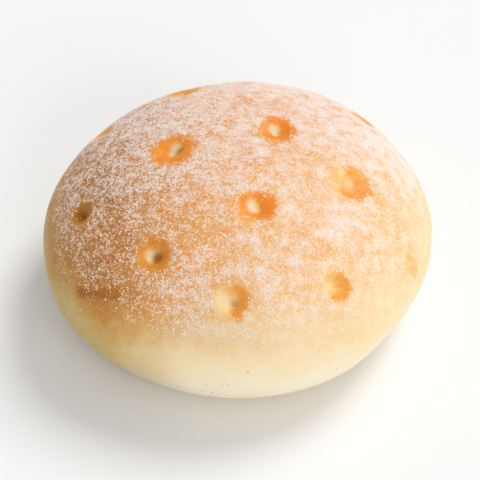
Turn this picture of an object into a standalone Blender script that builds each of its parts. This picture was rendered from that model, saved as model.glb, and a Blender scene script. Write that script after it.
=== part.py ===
"""Round bread roll with docking holes in its crust, as one closed solid.

The roll rests on its flat base at z = 0, and the middle of its bounding box is on the Z axis.
Lengths are in metres, +Z is up and bearings are in degrees anticlockwise from +X.
"""

import math

import bmesh
import bpy
from mathutils import Vector, noise

MM = 0.001

# The turned form: a flattened dome over a side that curves in to a flat base
RADIUS = 50 * MM            # middle to the widest level, before the swells
CROWN_RISE = 28.5 * MM      # widest level up to the crown
WAIST_HEIGHT = 18 * MM      # base up to the widest level
BASE_RADIUS = 34 * MM       # the flat that the roll rests on
DOME_SHARE = 0.54           # share of the way from crown to base centre that the dome's facets take
SIDE_SHARE = 0.81           # share of that way where the side ends and the flat base starts

# Swells and flats of the hand-shaped outline: bearing, half width in degrees, share of the radius
SWELLS = (
    (2, 22, 0.010),
    (74, 26, 0.020),
    (132, 24, -0.016),
    (210, 30, 0.036),
    (245, 26, -0.024),
    (285, 28, 0.008),
    (324, 32, -0.030),
)

# Slow unevenness of the crust, fading out towards the base
LUMP_SIZE = 21 * MM
LUMP_HEIGHT = 0.7 * MM
LUMP_FADE = 12 * MM         # height over the base at which the lumps are at full strength

# Docking holes: across, along, mouth radius and depth in millimetres.
# The pins stand on a triangular grid of about 26 mm, which the dough has pulled a little out of line.
DOCK_HOLES = (
    (-16.9, 3.2, 7.0, 2.0),
    (9.3, 10.2, 5.2, 1.8),
    (27.9, -5.5, 6.2, 1.2),
    (4.1, -16.9, 6.2, 1.8),
    (-20.9, -27.5, 5.1, 2.0),
    (-39.8, -9.8, 3.9, 2.4),
    (-1.8, -39.6, 4.7, 1.7),
    (23.7, -33.3, 4.0, 1.1),
    (43.0, -19, 2.8, 0.6),
    (-15, 34, 5.2, 1.6),
    (32.5, 29, 4.4, 1.2),
    (-36, 23, 4.4, 1.4),
    (10, 43, 5.4, 1.6),
)
TIP_RADIUS = 0.5 * MM       # rounding at the bottom of a hole
FUNNEL_POWER = 2.0          # how much a hole steepens towards its tip: 1 is a cone
PIN_UPRIGHT = 1.5           # how far a hole leans from the crust's normal towards the vertical

# The fold low on the side, where a hole was pulled shut: its two ends in plan
FOLD_START = (-40.5 * MM, -27.8 * MM)
FOLD_END = (-28.8 * MM, -34.2 * MM)
FOLD_WIDTH = 1.1 * MM
FOLD_DEPTH = 0.5 * MM

# Facets: an icosphere, split once more at each reach around a hole
SPHERE_SUBDIVISIONS = 5
SPLIT_REACHES = (7.5 * MM, 4.0 * MM)

CRUST_COLOUR = (0.75, 0.42, 0.16, 1.0)
CRUST_ROUGHNESS = 0.6


def clear_scene():
    for obj in list(bpy.data.objects):
        bpy.data.objects.remove(obj)


def outline_radius(bearing):
    """Radius of the widest level at a bearing in degrees, with its swells and flats."""
    share = 1.0
    for middle, half_width, height in SWELLS:
        off = abs((bearing - middle + 180) % 360 - 180)
        if off < half_width * 2:
            share += height * math.cos(math.pi / 4 * off / half_width) ** 2
    return RADIUS * share


def profile(share):
    """Radius, as a share of the widest, and height, from the crown (0) to the base's middle (1)."""
    base = BASE_RADIUS / RADIUS
    if share < DOME_SHARE:
        turn = share / DOME_SHARE * math.pi / 2
        return math.sin(turn), WAIST_HEIGHT + CROWN_RISE * math.cos(turn)
    if share < SIDE_SHARE:
        turn = (share - DOME_SHARE) / (SIDE_SHARE - DOME_SHARE) * math.pi / 2
        return base + (1 - base) * math.cos(turn), WAIST_HEIGHT * (1 - math.sin(turn))
    return base * (1 - share) / (1 - SIDE_SHARE), 0.0


def form_point(direction):
    """Where a direction from the middle of the facets' sphere lands on the smooth form."""
    share = math.acos(max(-1.0, min(1.0, direction.z))) / math.pi
    bearing = math.atan2(direction.y, direction.x)
    radius, height = profile(share)
    reach = radius * outline_radius(math.degrees(bearing))
    return Vector((reach * math.cos(bearing), reach * math.sin(bearing), height))


def dome_point(across, along):
    """The point of the dome over a place in plan, and its outward normal."""
    reach = outline_radius(math.degrees(math.atan2(along, across)))
    share = math.hypot(across, along) / reach
    rise = CROWN_RISE * math.sqrt(1 - share ** 2)
    normal = Vector((across / reach ** 2, along / reach ** 2, rise / CROWN_RISE ** 2))
    return Vector((across, along, WAIST_HEIGHT + rise)), normal.normalized()


def dock_holes():
    """Centre, axis, mouth radius and depth of each docking hole."""
    holes = []
    for across, along, mouth, depth in DOCK_HOLES:
        centre, normal = dome_point(across * MM, along * MM)
        axis = (normal + PIN_UPRIGHT * Vector((0, 0, 1))).normalized()
        holes.append((centre, axis, mouth * MM, depth * MM))
    return holes


def hole_push(point, hole):
    """How a docking hole moves a point of the crust: a funnel with a rounded tip and a soft rim."""
    centre, axis, mouth, depth = hole
    offset = point - centre
    off_axis = offset - offset.dot(axis) * axis
    distance = math.hypot(off_axis.length, TIP_RADIUS) - TIP_RADIUS
    if distance >= mouth or offset.length > 2 * mouth:
        return Vector()
    return -axis * depth * (1 - distance / mouth) ** FUNNEL_POWER


def fold_push(point):
    """How the fold moves a point: a narrow dent between its two ends, deepest halfway."""
    start, _ = dome_point(*FOLD_START)
    end, outward = dome_point(*FOLD_END)
    line = end - start
    offset = point - start
    along = min(1.0, max(0.0, offset.dot(line) / line.length_squared))
    away = (offset - along * line).length
    share = 4 * along * (1 - along) * math.exp(-(away / FOLD_WIDTH) ** 2)
    return -outward * FOLD_DEPTH * share


def lump_push(point):
    """The crust's slow unevenness, along the direction away from the middle of the waist."""
    outward = (point - Vector((0, 0, WAIST_HEIGHT))).normalized()
    strength = min(1.0, point.z / LUMP_FADE)
    return outward * LUMP_HEIGHT * strength * noise.noise(point / LUMP_SIZE)


def split_near_holes(shape, holes):
    """Splits the facets around each hole, so that the funnels come out round."""
    for reach in SPLIT_REACHES:
        near = []
        for edge in shape.edges:
            middle = (edge.verts[0].co + edge.verts[1].co).normalized()
            point = form_point(middle)
            if any((point - hole[0]).length < reach for hole in holes):
                near.append(edge)
        bmesh.ops.subdivide_edges(shape, edges=near, cuts=1, use_grid_fill=True)
        for vertex in shape.verts:
            vertex.co.normalize()


def make_roll_mesh():
    holes = dock_holes()
    shape = bmesh.new()
    bmesh.ops.create_icosphere(shape, subdivisions=SPHERE_SUBDIVISIONS, radius=1.0)
    split_near_holes(shape, holes)
    for vertex in shape.verts:
        point = form_point(vertex.co)
        pushes = [hole_push(point, hole) for hole in holes]
        pushes.append(fold_push(point))
        pushes.append(lump_push(point))
        vertex.co = point + sum(pushes, Vector())
    bmesh.ops.triangulate(shape, faces=shape.faces)
    mesh = bpy.data.meshes.new("bread_roll")
    shape.to_mesh(mesh)
    shape.free()
    return mesh


def centre_in_plan(mesh):
    """Moves the mesh so that the middle of its bounding box is over the origin."""
    for axis in (0, 1):
        values = [vertex.co[axis] for vertex in mesh.vertices]
        middle = (min(values) + max(values)) / 2
        for vertex in mesh.vertices:
            vertex.co[axis] -= middle


def crust_material():
    material = bpy.data.materials.new("crust")
    material.use_nodes = True
    shader = material.node_tree.nodes["Principled BSDF"]
    shader.inputs["Base Color"].default_value = CRUST_COLOUR
    shader.inputs["Roughness"].default_value = CRUST_ROUGHNESS
    shader.inputs["Metallic"].default_value = 0.0
    return material


def make_roll():
    mesh = make_roll_mesh()
    centre_in_plan(mesh)
    mesh.shade_smooth()
    mesh.materials.append(crust_material())
    roll = bpy.data.objects.new("bread_roll", mesh)
    bpy.context.scene.collection.objects.link(roll)
    return roll


clear_scene()
make_roll()
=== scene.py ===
"""Looks of the bread roll: its brown-baked crust, partly painted with shade on the side turned from the
lamps, the flour dusted over it and a few bran flecks.

Lengths are in metres, +Z is up and bearings are in degrees anticlockwise from +X.
"""

import math

import bmesh
import bpy
import numpy as np
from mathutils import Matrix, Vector, noise


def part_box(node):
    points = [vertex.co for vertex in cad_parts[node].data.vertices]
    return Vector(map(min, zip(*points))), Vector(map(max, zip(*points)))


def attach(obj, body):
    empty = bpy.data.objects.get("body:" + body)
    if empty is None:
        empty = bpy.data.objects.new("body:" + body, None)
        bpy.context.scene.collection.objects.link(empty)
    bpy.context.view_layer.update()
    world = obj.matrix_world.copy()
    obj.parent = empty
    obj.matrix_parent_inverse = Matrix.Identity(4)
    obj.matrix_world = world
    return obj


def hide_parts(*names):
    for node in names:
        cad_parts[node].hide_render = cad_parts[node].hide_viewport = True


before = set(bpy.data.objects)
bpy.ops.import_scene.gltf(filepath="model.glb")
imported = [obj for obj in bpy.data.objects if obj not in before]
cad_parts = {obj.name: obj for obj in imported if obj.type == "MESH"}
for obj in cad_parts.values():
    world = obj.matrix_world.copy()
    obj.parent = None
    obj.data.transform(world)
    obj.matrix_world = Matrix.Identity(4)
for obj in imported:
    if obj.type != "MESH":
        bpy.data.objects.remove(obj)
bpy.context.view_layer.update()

MM = 0.001
NODE = "bread_roll"

# The form that the CAD solid has: a dome over a side that curves in to a flat base
RADIUS = 50 * MM            # middle to the widest level, before the swells
CROWN_RISE = 28.5 * MM      # widest level up to the crown
WAIST_HEIGHT = 18 * MM      # base up to the widest level
BASE_RADIUS = 34 * MM       # the flat that the roll rests on

# Swells and flats of the hand-shaped outline: bearing, half width in degrees, share of the radius
SWELLS = (
    (2, 22, 0.010),
    (74, 26, 0.020),
    (132, 24, -0.016),
    (210, 30, 0.036),
    (245, 26, -0.024),
    (285, 28, 0.008),
    (324, 32, -0.030),
)

# Slow unevenness of the crust, fading out towards the base
LUMP_SIZE = 21 * MM
LUMP_HEIGHT = 0.7 * MM
LUMP_FADE = 12 * MM         # height over the base at which the lumps are at full strength

# Docking holes: across, along, mouth radius and depth in mm. Their places, those of the spots and tips
# in HOLE_LOOKS and the fold's ends go back to printed measurements made outside this script.
DOCK_HOLES = (
    (-16.9, 3.2, 7.0, 2.0),
    (9.3, 10.2, 5.2, 1.8),
    (27.9, -5.5, 6.2, 1.2),
    (4.1, -16.9, 6.2, 1.8),
    (-20.9, -27.5, 5.1, 2.0),
    (-39.8, -9.8, 3.9, 2.4),
    (-1.8, -39.6, 4.7, 1.7),
    (23.7, -33.3, 4.0, 1.1),
    (43.0, -19, 2.8, 0.6),
    (-15, 34, 5.2, 1.6),
    (32.5, 29, 4.4, 1.2),
    (-36, 23, 4.4, 1.4),
    (10, 43, 5.4, 1.6),
)
TIP_RADIUS = 0.5 * MM       # rounding at the bottom of a hole
FUNNEL_POWER = 2.0          # how much a hole steepens towards its tip: 1 is a cone
PIN_UPRIGHT = 1.5           # how far a hole leans from the crust's normal towards the vertical

# Looks of the same holes: the dish's length over its width and how orange it is, how much more orange
# towards one bearing, then how strong the cream spot and the brown tip are, each with its place in mm
# from the hole's middle. The extra orange and the brown tip lie on the wall turned from the lamps and are
# partly painted shade; the cream spot lies on the wall facing them and is partly painted light.
HOLE_LOOKS = (
    (1.0, 0.80, 0.0, 0, 0.90, (0.7, 1.6), 0.55, (1.9, 0.2)),
    (1.25, 0.90, 0.30, 20, 0.90, (-0.6, 1.2), 0.1, (0.8, 0.2)),
    (1.0, 0.50, 0.40, -15, 0.40, (-0.4, 1.2), 0.0, (0.0, 0.0)),
    (0.8, 0.85, 0.30, 10, 0.95, (-1.3, 0.7), 0.25, (0.9, 0.1)),
    (1.0, 0.70, 0.10, 20, 0.80, (-0.9, 0.3), 0.9, (0.8, -0.4)),
    (1.1, 0.60, 0.0, 0, 0.0, (0.0, 0.0), 1.4, (-1.2, 0.0)),
    (1.05, 0.40, 0.50, 0, 0.60, (-1.9, 0.4), 0.3, (0.3, 0.0)),
    (1.0, 0.42, 0.40, 5, 0.0, (0.0, 0.0), 0.12, (-0.8, 0.0)),
    (1.0, 0.25, 0.0, 0, 0.0, (0.0, 0.0), 0.0, (0.0, 0.0)),
    (1.0, 0.50, 0.30, 20, 0.70, (-0.4, 0.2), 0.5, (0.8, 0.0)),
    (1.0, 0.50, 0.30, 20, 0.70, (-0.4, 0.2), 0.3, (0.8, 0.0)),
    (1.0, 0.35, 0.20, 20, 0.60, (-0.4, 0.2), 0.6, (0.8, 0.0)),
    (1.0, 0.50, 0.30, 20, 0.60, (-0.4, 0.2), 0.4, (0.8, 0.0)),
)
LIT_CREAM_REACH = np.array((1.6, 2.1, 2.1)) * MM    # half widths of a cream spot, partly painted light

# The fold low on the side: its two ends in plan
FOLD_START = (-40.5 * MM, -27.8 * MM)
FOLD_END = (-28.8 * MM, -34.2 * MM)
FOLD_WIDTH = 1.1 * MM
FOLD_DEPTH = 0.5 * MM

# Facet edges of the crust, from the dome down
DOME_EDGE = 0.45 * MM
SIDE_EDGE = 0.62 * MM
BASE_EDGE = 1.50 * MM

# Fine relief of the crust: size and height of each layer
RELIEF_LAYERS = (
    (7.0 * MM, 0.10 * MM),
    (2.6 * MM, 0.035 * MM),
    (1.1 * MM, 0.018 * MM),
)

# Flour: piece name, number of grains, corners of a grain, smallest and largest width, and how thickly
# it strayed down the side
FLOUR_KINDS = (
    ("flour_dust", 48000, 4, 0.12 * MM, 0.24 * MM, 0.065),
    ("flour_grains", 22000, 6, 0.20 * MM, 0.38 * MM, 0.020),
    ("flour_clumps", 7000, 12, 0.34 * MM, 0.65 * MM, 0.003),
)
FLOUR_FLATNESS = 0.34        # height of a grain over its width
FLOUR_SUNK = 0.4             # how deep a grain sits in the crust, in its radii
BRAN_FLECKS = 180
BRAN_WIDTHS = (0.18 * MM, 0.56 * MM)
BRAN_FLATNESS = 0.22
BRAN_SUNK = 0.10

# Seeds of the random draws of the flour, one more for each kind, and of the bran
FLOUR_SEED = 31
BRAN_SEED = 51

# The side that baked browner, whose colours also hold painted shade as it lies away from the lamps, the
# side that baked least and the side that stayed palest low down
BROWN_AND_SHADE_BEARING = 180
# The least baked side faces the lamps, and its paler crust is partly painted light
MILD_AND_LIT_BEARING = 325
PALE_BEARING = 272.5

# How baked the fold and the underside are, from 0 to 1
FOLD_BAKE = 0.62
UNDERSIDE_BAKE = 0.62

# How the flour fell: mean cover, more of it towards one bearing, less far down the side at another, and
# thicker or thinner patches
FLOUR_MEAN = 0.70
FLOUR_DRIFT = 0.4
FLOUR_BEARING = 72
LEAN_BEARING = 205
FLOUR_PATCHES = (            # across, along and radius in mm, then how much more cover
    (-12, -36, 8, 0.38),
    (-23, 19, 10, 0.20),
    (9, 21, 8, -0.20),
    (8, -35, 10, 0.20),
    (-11, -24, 8, -0.15),
    (-12, -4, 8, 0.22),
    (-25, -2, 8, 0.12),
    (-29, -25, 7, -0.12),
    (-37, -17, 8, -0.14),
    (-31, -34, 5, -0.25),
    (-23, -44, 5, -0.30),
    (24, -19, 5, 0.15),
    (44, -10, 10, -0.30),
    (34, 14, 6, 0.10),
    (20, 0, 8, -0.15),
    (0, 36, 6, 0.20),
    (-40, 10, 8, -0.15),
)

# Colours, linear: the crust from the least to the most baked, on its mild side and its brown side, whose
# darker, more olive colours are partly painted shade
MILD_CRUST = (
    (0.0, (0.88, 0.79, 0.61, 1)),
    (0.35, (0.92, 0.73, 0.44, 1)),
    (0.65, (0.87, 0.47, 0.145, 1)),
    (1.0, (0.83, 0.32, 0.06, 1)),
)
BROWNED_AND_SHADED_CRUST = (
    (0.0, (0.59, 0.50, 0.31, 1)),
    (0.42, (0.60, 0.42, 0.145, 1)),
    (0.67, (0.58, 0.26, 0.045, 1)),
    (1.0, (0.40, 0.125, 0.011, 1)),
)
HOLE_CRUST = (
    (0.0, (0.94, 0.68, 0.34, 1)),
    (0.5, (0.87, 0.38, 0.06, 1)),
    (1.0, (0.93, 0.25, 0.015, 1)),
)
# Cream spot: unbaked dough and painted light on a hole's lit wall
HOLE_CREAM_AND_LIGHT = (0.86, 0.68, 0.43, 1)
# Darker dish of holes with a strong tip, partly painted shade
HOLE_AMBER_AND_SHADE = (0.50, 0.21, 0.03, 1)
FRECKLE = (0.80, 0.21, 0.02, 1)
# Brown tip, partly painted shade on a hole's shaded wall
PIN_MARK_AND_SHADE = (0.38, 0.13, 0.008, 1)
FLOUR = (0.95, 0.85, 0.80, 1)
FLOUR_THIN = (0.96, 0.73, 0.49, 1)
BRAN_DARK = (0.62, 0.33, 0.10, 1)
BRAN_LIGHT = (0.80, 0.50, 0.20, 1)

# The bake's map: where the dome's part of the round chart ends, how far the side is drawn in on it,
# then middle and radius of that chart and of the base's
CHART_DOME = 0.72
CHART_DRAWN_IN = 0.5
TOP_CHART = (0.49, 0.485)
BASE_CHART = (0.895, 0.095)

# Camera: degrees over the horizon, metres from its aim, and the lens and its sensor in mm
CAMERA_ELEVATION = 45.3
CAMERA_DISTANCE = 0.5
CAMERA_LENS = 144.1
SENSOR_WIDTH = 36
AIM = Vector((0.5, -1.5, 16.5)) * MM

# Light: bearing, elevation and softness of each lamp in degrees and its strength, then the sky's
KEY_LAMP = (46, 50, 30, 1.58)
FILL_LAMP = (-60, 15, 50, 1.27)
SKY_STRENGTH = 0.5
FLOOR_REACH = 3.0


# ---- numbers ----

def smooth(value, low, high):
    """0 at low, 1 at high and a smooth step between."""
    t = np.clip((value - low) / (high - low), 0.0, 1.0)
    return t * t * (3 - 2 * t)


def noise_at(points, size, seed=0):
    """Gradient noise of that grain size at each point, about -1 to 1."""
    shift = seed * np.array((17.3, -9.1, 4.7))
    return np.array([noise.noise(place) for place in (points / size + shift).tolist()])


def units(vectors):
    return vectors / np.linalg.norm(vectors, axis=1, keepdims=True)


# ---- the form ----

def outline_radius(bearing):
    """Radius of the widest level at bearings in radians."""
    share = np.ones_like(bearing)
    for middle, half_width, height in SWELLS:
        off = np.abs((np.degrees(bearing) - middle + 180) % 360 - 180)
        lobe = np.cos(math.pi / 4 * off / half_width) ** 2
        share += np.where(off < 2 * half_width, height * lobe, 0.0)
    return RADIUS * share


def profile():
    """Points down the profile, the dome's first: way from the crown, share of the widest, height."""
    turn = np.linspace(0, math.pi / 2, 1200)
    base = BASE_RADIUS / RADIUS
    radius = np.concatenate([np.sin(turn), base + (1 - base) * np.cos(turn), [0.0]])
    dome = WAIST_HEIGHT + CROWN_RISE * np.cos(turn)
    side = WAIST_HEIGHT * (1 - np.sin(turn))
    height = np.concatenate([dome, side, [0.0]])
    steps = np.hypot(np.diff(radius) * RADIUS, np.diff(height))
    way = np.concatenate([[0.0], np.cumsum(steps)])
    return way, radius, height


def ring_ways(side_end, whole):
    """Ways down the profile at which the crust has a ring of points, and the edge length at each."""
    rings = [(0.0, DOME_EDGE)]
    while rings[-1][0] < whole - BASE_EDGE / 2:
        here, edge = rings[-1]
        rings.append((
            here + edge * math.sqrt(3) / 2,
            np.interp(here, (0.6 * side_end, side_end, whole), (DOME_EDGE, SIDE_EDGE, BASE_EDGE)),
        ))
    rings[-1] = (whole, BASE_EDGE)
    return rings


def zipped(first, first_count, second, second_count):
    """Triangles between two rings of points that start at one bearing. A ring of one point is a pole."""
    faces = []
    i = first_count if first_count == 1 else 0
    j = second_count if second_count == 1 else 0
    while i < first_count or j < second_count:
        a = first + i % first_count
        b = second + j % second_count
        ahead = (i + 1) * second_count <= (j + 1) * first_count
        if j >= second_count or (i < first_count and ahead):
            i += 1
            faces.append((a, b, first + i % first_count))
        else:
            j += 1
            faces.append((a, b, second + j % second_count))
    return faces


def crust_grid():
    """Even triangles over the smooth form: points, triangles, and each point's way along the profile."""
    way, radius, height = profile()
    points = []
    faces = []
    ways = []
    before = None
    start = 0
    for here, edge in ring_ways(way[-2], way[-1]):
        share = np.interp(here, way, radius)
        count = max(1, round(2 * math.pi * share * RADIUS / edge))
        bearing = 2 * math.pi * np.arange(count) / count
        reach = share * outline_radius(bearing)
        level = np.full(count, np.interp(here, way, height))
        points.append(np.column_stack([reach * np.cos(bearing), reach * np.sin(bearing), level]))
        ways.append(np.full(count, here))
        if before:
            faces += zipped(*before, start, count)
        before = (start, count)
        start += count
    return np.concatenate(points), np.array(faces), np.concatenate(ways)


def normals_of(points, faces):
    """Outward normal at each point, from the faces around it."""
    a, b, c = (points[faces[:, k]] for k in range(3))
    of_faces = np.cross(b - a, c - a)
    total = np.zeros_like(points)
    for k in range(3):
        for axis in range(3):
            total[:, axis] += np.bincount(faces[:, k], of_faces[:, axis], len(points))
    return units(total)


def dome_point(across, along):
    """The dome's point over that place in plan, and its normal."""
    reach = float(outline_radius(np.array(math.atan2(along, across))))
    rise = CROWN_RISE * math.sqrt(1 - (across ** 2 + along ** 2) / reach ** 2)
    normal = Vector((across / reach ** 2, along / reach ** 2, rise / CROWN_RISE ** 2)).normalized()
    return np.array((across, along, WAIST_HEIGHT + rise)), np.array(normal)


def dock_hole(across, along, mouth, depth):
    """Centre on the dome, axis, mouth radius and depth of a docking hole."""
    centre, normal = dome_point(across * MM, along * MM)
    axis = normal + PIN_UPRIGHT * np.array((0, 0, 1))
    return centre, axis / np.linalg.norm(axis), mouth * MM, depth * MM


def off_axis(points, hole, stretch=1.0):
    """Distance of each point from a hole's axis in mouth radii, and 9 where it isn't near the hole."""
    centre, axis, mouth, _ = hole
    offset = points - centre
    off = offset - (offset @ axis)[:, None] * axis
    away = np.linalg.norm(off / np.array((1, stretch, 1)), axis=1)
    return np.where(np.linalg.norm(offset, axis=1) < 2 * mouth, away / mouth, 9.0)


def fold_share(points):
    """How deep each point is in the fold, from 0 to 1, and the way out of the roll there."""
    start, _ = dome_point(*FOLD_START)
    end, outward = dome_point(*FOLD_END)
    line = end - start
    along = np.clip((points - start) @ line / (line @ line), 0, 1)
    away = np.linalg.norm(points - start - along[:, None] * line, axis=1)
    return 4 * along * (1 - along) * np.exp(-(away / FOLD_WIDTH) ** 2), outward


# ---- the crust ----

def shaped(points, faces, holes):
    """The crust's points with the holes, the fold, the lumps and the fine relief."""
    normals = normals_of(points, faces)
    push = np.zeros_like(points)
    for hole in holes:
        centre, axis, mouth, depth = hole
        away = off_axis(points, hole)
        tip = TIP_RADIUS / mouth
        share = np.clip(1 - (np.hypot(away, tip) - tip), 0, 1) ** FUNNEL_POWER
        push -= depth * share[:, None] * axis
    fold, outward = fold_share(points)
    push -= FOLD_DEPTH * fold[:, None] * outward
    lump = LUMP_HEIGHT * np.clip(points[:, 2] / LUMP_FADE, 0, 1) * noise_at(points, LUMP_SIZE)
    push += lump[:, None] * units(points - np.array((0, 0, WAIST_HEIGHT)))
    for seed, (size, height) in enumerate(RELIEF_LAYERS, start=1):
        standing = np.clip(points[:, 2] / LUMP_FADE, 0.15, 1)
        push += (height * standing * noise_at(points, size, seed))[:, None] * normals
    return points + push


def fitted(points):
    """The points moved so that their box has the CAD solid's middle in plan and stands at its base."""
    low, high = (np.array(corner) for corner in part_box(NODE))
    middle = (points.min(0) + points.max(0)) / 2
    shift = (low + high) / 2 - middle
    shift[2] = low[2] - points[:, 2].min()
    return points + shift


def towards(points, bearing):
    """How far points lie in plan towards a bearing, from -1 to 1 at the widest part."""
    turn = math.radians(bearing)
    return (points[:, 0] * math.cos(turn) + points[:, 1] * math.sin(turn)) / RADIUS


def flour_cover(points, normals, patches):
    """Share of the crust that flour hides: it fell straight down, thickly where the crust lies flat."""
    cover = FLOUR_MEAN + FLOUR_DRIFT * towards(points, FLOUR_BEARING)
    for across, along, radius, more in FLOUR_PATCHES:
        away = np.hypot(points[:, 0] - across * MM, points[:, 1] - along * MM)
        cover += more * np.exp(-(away / (radius * MM)) ** 2)
    cover += 0.25 * noise_at(points, 3 * MM, 9)
    level = normals[:, 2] + 0.07 * patches - 0.14 * smooth(towards(points, LEAN_BEARING), 0.65, 1.0)
    level += 0.09 * noise_at(points, 5 * MM, 10)
    return cover * (0.9 * smooth(level, 0.31, 0.67) + 0.1 * smooth(level, 0.05, 0.40))


def baked_share(points, browned, patches, spots):
    """How baked the crust is: pale low down and deep golden over the dome, sooner on the brown side,
    where the colours also hold painted shade.
    """
    aside = 1 - smooth(towards(points, PALE_BEARING), 0.76, 0.97)
    height = points[:, 2] + (6 * aside - 0.5 * browned + 1.2 * patches - 2.3) * MM
    baked = 0.02 + 0.36 * smooth(height, 7 * MM, 20 * MM) + 0.58 * smooth(height, 20 * MM, 41 * MM)
    mild = 0.03 + 0.39 * smooth(height, 9 * MM, 27 * MM) + 0.29 * smooth(height, 27 * MM, 45 * MM)
    # less baked, so paler, towards the side turned to the lamps: partly real, partly painted light
    milder_and_lit = smooth(towards(points, MILD_AND_LIT_BEARING) + 0.15 * patches, -0.02, 0.55)
    return baked + (mild - baked) * milder_and_lit + 0.07 * patches + 0.04 * spots


def browned_and_shaded_share(points, patches):
    """How far a point is towards the side that turned brownest, away from the lamps, which reaches
    further round low down: partly real browning, partly painted shade.
    """
    low = 1 - smooth(points[:, 2], 10 * MM, 24 * MM)
    return smooth(towards(points, BROWN_AND_SHADE_BEARING) + 0.10 * patches + 0.15 * low, 0.18, 0.90)


def hole_fields(points, holes):
    """What the docking holes add to the material's fields, and each point's way to the nearest dish."""
    names = ("dished", "orange", "amber", "hollow", "pinned")
    fields = {name: np.zeros(len(points)) for name in names}
    ragged = 1 + 0.08 * noise_at(points, 4 * MM, 13) + 0.19 * noise_at(points, 1.2 * MM, 7)
    spots = noise_at(points, 2.4 * MM, 6)
    nearest = np.full(len(points), 9.0)
    for hole, look in zip(holes, HOLE_LOOKS):
        stretch, brown, more, bearing, lit_cream, lit_cream_place, tip, tip_place = look
        centre, _, mouth, _ = hole
        away = off_axis(points, hole, stretch) * ragged
        nearest = np.minimum(nearest, away)
        dish = 1 - smooth(away, 0.70, 1.12)
        middle = 1 - smooth(away * mouth, 0.2 * MM, 2.4 * MM)
        ring = (1 - smooth(away, 0.9, 1.1)) * (1 - lit_cream * middle)
        side = np.clip(towards(points - centre, bearing) * RADIUS / mouth, -1, 1)
        lit_cream_offset = (points - centre - np.array((*lit_cream_place, 0)) * MM) / LIT_CREAM_REACH
        pale = np.linalg.norm(lit_cream_offset, axis=1) * ragged
        tip_offset = points - centre - np.array((*tip_place, 0)) * MM
        tip_reach = (1 + 1.2 * tip) * MM
        singed_and_shaded = np.linalg.norm(tip_offset, axis=1) / tip_reach * ragged
        found = {
            "dished": dish,
            # the more orange side is partly browning, partly painted shade on the wall turned from the
            # lamps
            "orange": ring * (brown * (1 + 0.5 * spots) + more * side),
            # darker dish, partly painted shade on the holes away from the lamps
            "amber": dish * smooth(tip, 0.6, 1.4),
            # cream spot: unbaked dough, and painted light on the wall facing the lamps
            "hollow": lit_cream * (1 - smooth(pale, 0.3, 1.2)),
            # brown tip: partly painted shade on the hole's wall turned from the lamps
            "pinned": tip * (1 - smooth(singed_and_shaded, 0.30, 1.0)),
        }
        for name, values in found.items():
            fields[name] = np.maximum(fields[name], values)
    return fields, nearest


def crust_fields(points, normals, holes, base):
    """What the crust's material reads at each point, all from 0 to 1."""
    patches = noise_at(points, 11 * MM, 5)
    spots = noise_at(points, 2.4 * MM, 6)
    # share of the brown side, which also carries painted shade
    browned = browned_and_shaded_share(points, patches)
    fold = np.clip(1.5 * fold_share(points)[0] * (0.7 + 0.5 * spots), 0, 1)
    underside = base * smooth(-normals[:, 2], 0.5, 0.95)
    baked = baked_share(points, browned, patches, spots) + FOLD_BAKE * fold
    baked += (UNDERSIDE_BAKE + 0.10 * patches - baked) * underside
    fields, nearest = hole_fields(points, holes)
    fields["baked"] = baked
    fields["browned"] = browned
    # sharper flour specks towards the side away from the lamps: partly painted light, where grazing light
    # catches the grains
    fields["specked"] = smooth(towards(points, BROWN_AND_SHADE_BEARING), -0.25, 0.35)
    cover = flour_cover(points, normals, patches)
    fields["floured"] = cover * smooth(nearest, 0.64, 1.06) * (1 - 0.9 * fold)
    return {name: np.clip(values, 0, 1) for name, values in fields.items()}


def unrolled(points, ways, side_end, whole):
    """The bake's map: the dome and side as one round chart, and the base as another."""
    bearing = np.arctan2(points[:, 1], points[:, 0])
    dome_way = CHART_DOME * side_end
    top = np.where(ways < dome_way, ways, dome_way + CHART_DRAWN_IN * (ways - dome_way))
    top_middle, top_radius = TOP_CHART
    top = top_radius * top / (dome_way + CHART_DRAWN_IN * (side_end - dome_way))
    base_middle, base_radius = BASE_CHART
    bottom = base_radius * (whole - ways) / (whole - side_end)
    round_about = np.column_stack([np.cos(bearing), np.sin(bearing)])
    return top_middle + top[:, None] * round_about, base_middle + bottom[:, None] * round_about


def mesh_of(name, points, faces, smooth_shaded=True):
    mesh = bpy.data.meshes.new(name)
    mesh.from_pydata(points.tolist(), [], faces.tolist())
    if smooth_shaded:
        mesh.shade_smooth()
    else:
        mesh.shade_flat()
    piece = bpy.data.objects.new(name, mesh)
    bpy.context.scene.collection.objects.link(piece)
    return piece


def add_values(piece, name, values):
    layer = piece.data.attributes.new(name, "FLOAT", "POINT")
    layer.data.foreach_set("value", values.astype(np.float32))


def add_bake_map(piece, corners):
    layer = piece.data.uv_layers.new(name="OFBake", do_init=False)
    layer.uv.foreach_set("vector", corners.astype(np.float32).ravel())


def make_crust():
    points, faces, ways = crust_grid()
    way = profile()[0]
    side_end = way[-2]
    whole = way[-1]
    holes = [dock_hole(*row) for row in DOCK_HOLES]
    normals = normals_of(points, faces)
    base = (ways > 0.94 * side_end).astype(float)
    fields = crust_fields(points, normals, holes, base)
    shape = fitted(shaped(points, faces, holes))
    piece = mesh_of("crust", shape, faces)
    for name, values in fields.items():
        add_values(piece, name, values)
    top, bottom = unrolled(points, ways, side_end, whole)
    is_base = (ways[faces].min(axis=1) >= side_end - SIDE_EDGE / 2)[:, None, None]
    add_bake_map(piece, np.where(is_base, bottom[faces], top[faces]))
    return piece, shape, faces, fields["floured"]


# ---- flour and flecks ----

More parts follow.
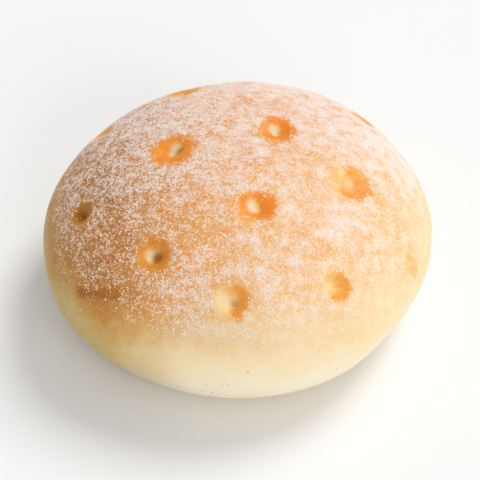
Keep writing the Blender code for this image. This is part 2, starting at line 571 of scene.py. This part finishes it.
def grain_shape(corners):
    """Points and triangles of a unit grain with 4, 6 or 12 corners."""
    golden = (1 + math.sqrt(5)) / 2
    if corners == 4:
        places = [(1, 1, 1), (1, -1, -1), (-1, 1, -1), (-1, -1, 1)]
    elif corners == 6:
        axes = ((1, 0, 0), (0, 1, 0), (0, 0, 1))
        places = [sign * Vector(axis) for sign in (1, -1) for axis in axes]
    else:
        places = []
        for a in (-1, 1):
            for b in (-golden, golden):
                places += [(0, a, b), (a, b, 0), (b, 0, a)]
    shape = bmesh.new()
    for place in places:
        shape.verts.new(Vector(place).normalized())
    bmesh.ops.convex_hull(shape, input=shape.verts)
    shape.verts.index_update()
    points = np.array([vertex.co for vertex in shape.verts])
    faces = np.array([[vertex.index for vertex in face.verts] for face in shape.faces])
    shape.free()
    return points, faces


def turns(generator, count):
    """Random rotation matrices."""
    w, x, y, z = units(generator.normal(size=(count, 4))).T
    return np.array([
        [1 - 2 * (y * y + z * z), 2 * (x * y - w * z), 2 * (x * z + w * y)],
        [2 * (x * y + w * z), 1 - 2 * (x * x + z * z), 2 * (y * z - w * x)],
        [2 * (x * z - w * y), 2 * (y * z + w * x), 1 - 2 * (x * x + y * y)],
    ]).transpose(2, 0, 1)


def scattered(generator, count, shape, faces, density):
    """Random places on the crust, more where the density is high, and the normal at each."""
    a, b, c = (shape[faces[:, k]] for k in range(3))
    cross = np.cross(b - a, c - a)
    weight = np.linalg.norm(cross, axis=1) * density[faces].mean(axis=1)
    picks = generator.choice(len(faces), count, p=weight / weight.sum())
    u, v = generator.random((2, count))
    over = u + v > 1
    u[over] = 1 - u[over]
    v[over] = 1 - v[over]
    places = a[picks] + u[:, None] * (b - a)[picks] + v[:, None] * (c - a)[picks]
    return places, units(cross[picks]), faces[picks, 0]


def make_grains(name, seed, corners, widths, tones, flatness, sunk, places, normals):
    """One mesh of many small lumps lying on the crust."""
    generator = np.random.default_rng(seed)
    unit_points, unit_faces = grain_shape(corners)
    count = len(places)
    jitter = generator.uniform(0.72, 1.18, (count, corners, 1))
    lumps = (unit_points[None] * jitter) @ turns(generator, count)
    along = np.einsum("gcx,gx->gc", lumps, normals)
    lumps -= (1 - flatness) * along[:, :, None] * normals[:, None, :]
    radii = widths / 2
    lumps = places[:, None] + radii[:, None, None] * lumps
    lumps += ((flatness - sunk) * radii)[:, None, None] * normals[:, None, :]
    faces = unit_faces[None] + corners * np.arange(count)[:, None, None]
    piece = mesh_of(name, lumps.reshape(-1, 3), faces.reshape(-1, 3), smooth_shaded=corners > 6)
    add_values(piece, "tone", np.repeat(tones, corners))
    add_bake_map(piece, grain_cells(count, len(unit_faces)))
    return piece


def grain_cells(count, faces_each):
    """The bake's map for grains: each grain has a cell of a square grid, which its faces share."""
    across = math.ceil(math.sqrt(count))
    row, column = np.divmod(np.arange(count), across)
    corners = np.array(((0.1, 0.1), (0.9, 0.1), (0.5, 0.9)))
    cell = np.column_stack([column, row])[:, None, :] + corners
    return np.repeat(cell / across, faces_each, axis=0)


def make_flour(shape, faces, floured):
    """Three sizes of flour, gathered into small curds, with a little fine dust strayed down the side."""
    pieces = []
    curds = noise_at(shape, 1.3 * MM, 21)
    clots = noise_at(shape, 3.2 * MM, 22)
    cover = floured * (1.2 - 0.7 * floured) * np.clip(0.5 + 1.0 * curds + 0.5 * clots, 0.05, None)
    low = smooth(shape[:, 2], 7 * MM, 24 * MM) * (0.4 + browned_and_shaded_share(shape, clots))
    for seed, kind in enumerate(FLOUR_KINDS, start=FLOUR_SEED):
        name, count, corners, narrow, wide, strayed = kind
        generator = np.random.default_rng(seed)
        places, normals, near = scattered(generator, count, shape, faces, cover + strayed * low)
        widths = narrow + (wide - narrow) * generator.random(count) ** 2
        tones = np.clip(0.15 + 0.8 * floured[near] + 0.4 * (generator.random(count) - 0.5), 0, 1)
        pieces.append(make_grains(
            name, seed, corners, widths, tones, FLOUR_FLATNESS, FLOUR_SUNK, places, normals
        ))
    return pieces


def make_bran(shape, faces):
    """Small brown flakes pressed flat on the pale side, with a few among the flour."""
    generator = np.random.default_rng(BRAN_SEED)
    density = (0.04 + smooth(-shape[:, 2], -30 * MM, -14 * MM)) * (shape[:, 2] > 2 * MM)
    places, normals, _ = scattered(generator, BRAN_FLECKS, shape, faces, density)
    widths = generator.uniform(*BRAN_WIDTHS, BRAN_FLECKS)
    tones = generator.random(BRAN_FLECKS)
    return make_grains(
        "bran_flecks", BRAN_SEED + 1, 12, widths, tones, BRAN_FLATNESS, BRAN_SUNK, places, normals
    )


# ---- materials ----

def new_material(name):
    material = bpy.data.materials.new(name)
    material.use_nodes = True
    return material, material.node_tree, material.node_tree.nodes["Principled BSDF"]


def attribute(tree, name):
    node = tree.nodes.new("ShaderNodeAttribute")
    node.attribute_name = name
    return node.outputs["Fac"]


def feed(tree, socket, value):
    if isinstance(value, bpy.types.NodeSocket):
        tree.links.new(value, socket)
    else:
        socket.default_value = value


def calculate(tree, operation, *values):
    node = tree.nodes.new("ShaderNodeMath")
    node.operation = operation
    for socket, value in zip(node.inputs, values):
        feed(tree, socket, value)
    return node.outputs[0]


def grain_noise(tree, size, detail=2.0):
    """Noise from 0 to 1 with features of that size, fixed in the object's space."""
    place = tree.nodes.new("ShaderNodeTexCoord")
    node = tree.nodes.new("ShaderNodeTexNoise")
    node.inputs["Scale"].default_value = 1 / size
    node.inputs["Detail"].default_value = detail
    tree.links.new(place.outputs["Object"], node.inputs["Vector"])
    return node.outputs["Fac"]


def speckle(tree, size):
    """Round specks of that size, about -0.5 between them and 0.5 in their middles."""
    place = tree.nodes.new("ShaderNodeTexCoord")
    node = tree.nodes.new("ShaderNodeTexVoronoi")
    node.inputs["Scale"].default_value = 1 / size
    tree.links.new(place.outputs["Object"], node.inputs["Vector"])
    return calculate(tree, "SUBTRACT", 0.45, node.outputs["Distance"])


def step(tree, value, low, high):
    """A smooth step from 0 at low to 1 at high."""
    node = tree.nodes.new("ShaderNodeMapRange")
    node.interpolation_type = "SMOOTHSTEP"
    feed(tree, node.inputs["Value"], value)
    feed(tree, node.inputs["From Min"], low)
    feed(tree, node.inputs["From Max"], high)
    return node.outputs["Result"]


def blended(tree, share, first, second, data_type="RGBA"):
    node = tree.nodes.new("ShaderNodeMix")
    node.data_type = data_type
    ending = {"RGBA": "_Color", "FLOAT": "_Float"}[data_type]
    sockets = []
    for socket in node.inputs:
        if socket.identifier.endswith(ending) or socket.identifier == "Factor_Float":
            sockets.append(socket)
    for socket, value in zip(sockets, (share, first, second)):
        feed(tree, socket, value)
    return next(socket for socket in node.outputs if socket.identifier.endswith(ending))


def ramp(tree, value, stops):
    node = tree.nodes.new("ShaderNodeValToRGB")
    elements = node.color_ramp.elements
    elements[0].position, elements[0].color = stops[0]
    elements[1].position, elements[1].color = stops[-1]
    for position, colour in stops[1:-1]:
        elements.new(position).color = colour
    tree.links.new(value, node.inputs["Fac"])
    return node.outputs["Color"]


def bumped(tree, shader, height, distance):
    node = tree.nodes.new("ShaderNodeBump")
    node.inputs["Distance"].default_value = distance
    tree.links.new(height, node.inputs["Height"])
    tree.links.new(node.outputs["Normal"], shader.inputs["Normal"])


def crust_colour(tree):
    """Crust from pale to brown, then the dishes, cream spots and pin marks of the docking holes, with
    painted light on their lit walls and painted shade on their shaded ones.
    """
    mottle = calculate(tree, "SUBTRACT", grain_noise(tree, 3 * MM, 4.0), 0.5)
    baked = calculate(tree, "MULTIPLY_ADD", mottle, 0.3, attribute(tree, "baked"))
    mild = ramp(tree, baked, MILD_CRUST)
    browned = attribute(tree, "browned")
    # the brown side's ramp: partly real browning, partly painted shade where the lamps don't reach
    colour = blended(tree, browned, mild, ramp(tree, baked, BROWNED_AND_SHADED_CRUST))
    orange = calculate(tree, "MULTIPLY_ADD", mottle, 0.6, attribute(tree, "orange"))
    freckled = step(tree, grain_noise(tree, 0.8 * MM, 1.0), 0.56, 0.70)
    freckled = calculate(tree, "MULTIPLY", freckled, 0.7)
    # dark freckles on the brown side, whose share also holds painted shade
    singed_and_shaded = calculate(tree, "MULTIPLY", browned, step(tree, baked, 0.5, 0.8))
    singed_and_shaded = calculate(tree, "MULTIPLY", freckled, singed_and_shaded)
    colour = blended(tree, singed_and_shaded, colour, BROWNED_AND_SHADED_CRUST[-1][1])
    dotted = calculate(tree, "MULTIPLY", freckled, step(tree, orange, 0.20, 0.55))
    dish = blended(tree, dotted, ramp(tree, orange, HOLE_CRUST), FRECKLE)
    # darker dish, partly painted shade
    dish = blended(tree, attribute(tree, "amber"), dish, HOLE_AMBER_AND_SHADE)
    colour = blended(tree, attribute(tree, "dished"), colour, dish)
    # cream spot, partly painted light on the hole's lit wall
    colour = blended(tree, attribute(tree, "hollow"), colour, HOLE_CREAM_AND_LIGHT)
    # brown tip, partly painted shade on the hole's shaded wall
    return blended(tree, attribute(tree, "pinned"), colour, PIN_MARK_AND_SHADE)


def flour_film(tree, floured):
    """Share of the crust hidden by the finest flour: specks where it is thin, a veil where thick."""
    fine = calculate(tree, "SUBTRACT", grain_noise(tree, 0.45 * MM, 2.0), 0.5)
    fine = calculate(tree, "MULTIPLY", fine, 0.6)
    fine = calculate(tree, "MULTIPLY_ADD", speckle(tree, 0.42 * MM), 0.35, fine)
    curds = calculate(tree, "SUBTRACT", grain_noise(tree, 1.1 * MM, 1.0), 0.5)
    clots = calculate(tree, "SUBTRACT", grain_noise(tree, 3.2 * MM, 1.0), 0.5)
    # less of an even veil, so sharper specks, towards the brown side: partly painted light of grazing
    # light on the grains
    even = calculate(tree, "MULTIPLY_ADD", attribute(tree, "browned"), -0.2, 1.0)
    even = calculate(tree, "MULTIPLY_ADD", attribute(tree, "specked"), -0.35, even)
    thick = calculate(tree, "MULTIPLY", step(tree, floured, 0.15, 0.62), even)
    film = calculate(tree, "MULTIPLY_ADD", floured, 0.72, calculate(tree, "MULTIPLY", clots, 0.9))
    film = calculate(tree, "MULTIPLY_ADD", fine, blended(tree, thick, 5.5, 1.2, "FLOAT"), film)
    film = calculate(tree, "MULTIPLY_ADD", curds, blended(tree, thick, 3.2, 0.6, "FLOAT"), film)
    most = blended(tree, thick, 0.85, 0.93, "FLOAT")
    most = calculate(tree, "MULTIPLY", most, step(tree, floured, 0.0, 0.2))
    return calculate(tree, "MULTIPLY", step(tree, film, 0.0, 1.0), most)


def crust_material():
    material, tree, shader = new_material("crust")
    floured = attribute(tree, "floured")
    film = flour_film(tree, floured)
    powder = blended(tree, step(tree, floured, 0.2, 0.8), FLOUR_THIN, FLOUR)
    tree.links.new(blended(tree, film, crust_colour(tree), powder), shader.inputs["Base Color"])
    tree.links.new(blended(tree, film, 0.50, 0.95, "FLOAT"), shader.inputs["Roughness"])
    skin = calculate(tree, "MULTIPLY_ADD", grain_noise(tree, 0.5 * MM, 3.0), 0.5, film)
    bumped(tree, shader, skin, 0.07 * MM)
    shader.inputs["Specular IOR Level"].default_value = 0.22
    shader.inputs["Subsurface Weight"].default_value = 0.12
    shader.inputs["Subsurface Radius"].default_value = (1.0, 0.5, 0.25)
    shader.inputs["Subsurface Scale"].default_value = 2 * MM
    return material


def grain_material(name, dark, light, roughness):
    """Dry grains, each with a tone of its own between two colours."""
    material, tree, shader = new_material(name)
    colour = blended(tree, attribute(tree, "tone"), dark, light)
    tree.links.new(colour, shader.inputs["Base Color"])
    bumped(tree, shader, grain_noise(tree, 0.12 * MM), 0.03 * MM)
    shader.inputs["Roughness"].default_value = roughness
    shader.inputs["Specular IOR Level"].default_value = 0.15
    return material


def floor_material():
    material, tree, shader = new_material("floor")
    colour = blended(tree, grain_noise(tree, 60 * MM), (0.95, 0.95, 0.95, 1), (0.97, 0.97, 0.97, 1))
    tree.links.new(colour, shader.inputs["Base Color"])
    shader.inputs["Roughness"].default_value = 0.9
    return material


# ---- stage ----

def make_floor():
    corners = FLOOR_REACH * np.array([(-1, -1, 0), (1, -1, 0), (1, 1, 0), (-1, 1, 0)])
    floor = mesh_of("floor", corners, np.array([(0, 1, 2, 3)]))
    floor.data.materials.append(floor_material())


def look_at(obj, place, target):
    obj.location = place
    obj.rotation_euler = (target - place).to_track_quat("-Z", "Y").to_euler()


def make_camera():
    data = bpy.data.cameras.new("camera")
    data.lens = CAMERA_LENS
    data.sensor_width = SENSOR_WIDTH
    data.clip_start = 0.01
    camera = bpy.data.objects.new("camera", data)
    bpy.context.scene.collection.objects.link(camera)
    elevation = math.radians(CAMERA_ELEVATION)
    back = Vector((0, -math.cos(elevation), math.sin(elevation)))
    look_at(camera, AIM + CAMERA_DISTANCE * back, AIM)
    bpy.context.scene.camera = camera


def make_lamp(name, bearing, elevation, softness, strength):
    """A large soft lamp far off, in degrees."""
    data = bpy.data.lights.new(name, "SUN")
    data.angle = math.radians(softness)
    data.energy = strength
    lamp = bpy.data.objects.new(name, data)
    bpy.context.scene.collection.objects.link(lamp)
    turn = math.radians(bearing)
    rise = math.radians(elevation)
    level = math.cos(rise)
    direction = Vector((math.cos(turn) * level, math.sin(turn) * level, math.sin(rise)))
    look_at(lamp, AIM + direction, AIM)


def make_light():
    world = bpy.data.worlds.new("studio")
    world.use_nodes = True
    sky = world.node_tree.nodes["Background"]
    sky.inputs["Color"].default_value = (1, 1, 1, 1)
    sky.inputs["Strength"].default_value = SKY_STRENGTH
    bpy.context.scene.world = world
    make_lamp("key", *KEY_LAMP)
    make_lamp("fill", *FILL_LAMP)
    bpy.context.scene.view_settings.view_transform = "Standard"


# ---- assembly ----

def add_to_part(piece, material):
    piece.data.materials.append(material)
    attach(piece, "root")


crust, shape, faces, floured = make_crust()
add_to_part(crust, crust_material())
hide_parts(NODE)

flour = grain_material("flour", FLOUR_THIN, FLOUR, 0.95)
for piece in make_flour(shape, faces, floured):
    add_to_part(piece, flour)

bran = grain_material("bran", BRAN_DARK, BRAN_LIGHT, 0.8)
add_to_part(make_bran(shape, faces), bran)

make_floor()
make_camera()
make_light()
